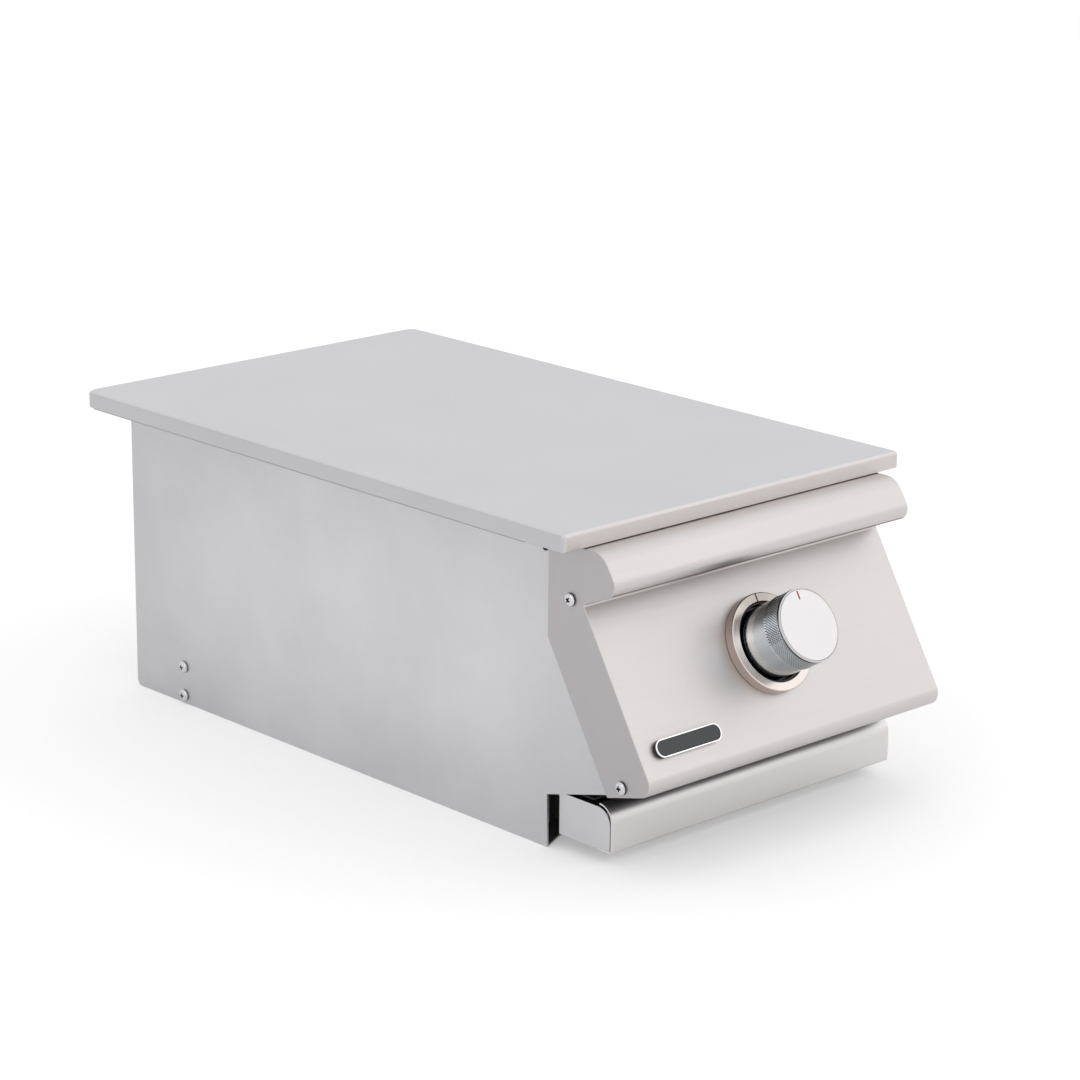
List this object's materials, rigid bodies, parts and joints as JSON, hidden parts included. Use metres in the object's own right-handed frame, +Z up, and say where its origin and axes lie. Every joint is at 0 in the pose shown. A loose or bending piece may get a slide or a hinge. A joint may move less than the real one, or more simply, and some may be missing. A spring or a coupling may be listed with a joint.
{
  "type": "built in side burner",
  "caption": "Slide in steel gas side burner: sloping fascia with a brow and round knob, rod grate over a brass ring burner, flat lift off cover, drip tray below.",
  "frame": {"origin": "middle of the floor pan's underside, on the surface that the box stands on", "axes": "+X to the right as seen from the front, +Y from the fascia to the back wall, +Z up"},
  "size_m": [0.336, 0.6233, 0.2371],
  "materials": {
    "cover_steel": "satin brushed stainless sheet, finely grained along its length",
    "fascia_steel": "satin brushed stainless sheet, warm reflections",
    "wall_steel": "satin stainless sheet, softly mottled reflections",
    "inner_steel": "plain mill finished stainless sheet",
    "rod_steel": "polished stainless rod, welded",
    "screw_steel": "bright stainless screw",
    "bezel_nickel": "satin warm nickel plate",
    "knob_aluminium": "bright turned aluminium with a knurled grip",
    "burner_brass": "cast and machined brass",
    "tube_copper": "bare copper tube",
    "collar_plastic": "glossy black moulding",
    "badge_enamel": "dark grey enamel field",
    "index_enamel": "red enamel line",
    "ceramic_glaze": "white glazed ceramic",
    "lead_rubber": "black silicone insulation",
    "pad_silicone": "pale silicone rubber",
    "gasket_foam": "dark foam rubber strip"
  },
  "bodies": {
    "body": {"side_wall_left": "wall_steel", "side_wall_right": "wall_steel", "cheek_left": "wall_steel", "cheek_right": "wall_steel", "back_wall": "wall_steel", "fascia_panel": "fascia_steel", "floor_pan": "inner_steel", "front_baffle": "inner_steel", "top_frame": "inner_steel", "tray_rail_left": "inner_steel", "tray_rail_right": "inner_steel", "burner_support": "inner_steel", "manifold_pipe": "inner_steel", "manifold_bracket": "inner_steel", "valve_bonnet": "inner_steel", "electrode_bracket": "inner_steel", "cheek_screw_upper_left": "screw_steel", "cheek_screw_lower_left": "screw_steel", "wall_screw_upper_left": "screw_steel", "wall_screw_lower_left": "screw_steel", "frame_screw_left": "screw_steel", "burner_screw_left": "screw_steel", "cheek_screw_upper_right": "screw_steel", "cheek_screw_lower_right": "screw_steel", "wall_screw_upper_right": "screw_steel", "wall_screw_lower_right": "screw_steel", "frame_screw_right": "screw_steel", "burner_screw_right": "screw_steel", "badge_plate": "screw_steel", "electrode_pin": "screw_steel", "knob_bezel": "bezel_nickel", "burner_casting": "burner_brass", "valve_body": "burner_brass", "gas_orifice": "burner_brass", "gas_inlet": "burner_brass", "manifold_plug": "burner_brass", "gas_tube": "tube_copper", "bezel_collar": "collar_plastic", "badge_field": "badge_enamel", "electrode_ceramic": "ceramic_glaze", "ignition_lead": "lead_rubber", "cover_pad_front_left": "pad_silicone", "cover_pad_front_right": "pad_silicone", "cover_pad_rear_left": "pad_silicone", "cover_pad_rear_right": "pad_silicone", "counter_gasket": "gasket_foam"},
    "tray": {"drip_tray_front": "fascia_steel", "drip_tray_pan": "inner_steel"},
    "plug": {"valve_plug": "burner_brass"},
    "knob": {"knob_body": "knob_aluminium", "knob_cap": "knob_aluminium", "knob_index_mark": "index_enamel", "valve_stem": "inner_steel"},
    "burner_top": {"burner_cap": "burner_brass"},
    "grate": {"grate": "rod_steel"},
    "cover": {"cover": "cover_steel"},
    "shutter": {"air_shutter": "inner_steel"}
  },
  "joints": [
    {"name": "tray_slide", "type": "slide", "parent": "body", "child": "tray", "axis": [0, -1, 0], "range_m": [0, 0.42]},
    {"name": "knob_turn", "type": "hinge", "parent": "body", "child": "plug", "pos_m": [0, -0.30263, 0.13225], "axis": [0, -0.859, 0.512], "range_deg": [0, 210]},
    {"name": "knob_push", "type": "slide", "parent": "plug", "child": "knob", "axis": [0, 0.859, -0.512], "range_m": [0, 0.003], "stiffness_N_per_m": 1000, "springref_m": -0.006},
    {"name": "burner_cap_lift", "type": "slide", "parent": "body", "child": "burner_top", "axis": [0, 0, 1], "range_m": [0, 0.015]},
    {"name": "grate_lift", "type": "slide", "parent": "body", "child": "grate", "axis": [0, 0, 1], "range_m": [0, 0.1]},
    {"name": "cover_lift", "type": "slide", "parent": "grate", "child": "cover", "axis": [0, 0, 1], "range_m": [0, 0.15]},
    {"name": "air_shutter_turn", "type": "hinge", "parent": "body", "child": "shutter", "pos_m": [0, -0.165, 0.166], "axis": [0, 1, 0], "range_deg": [0, 90]}
  ]
}
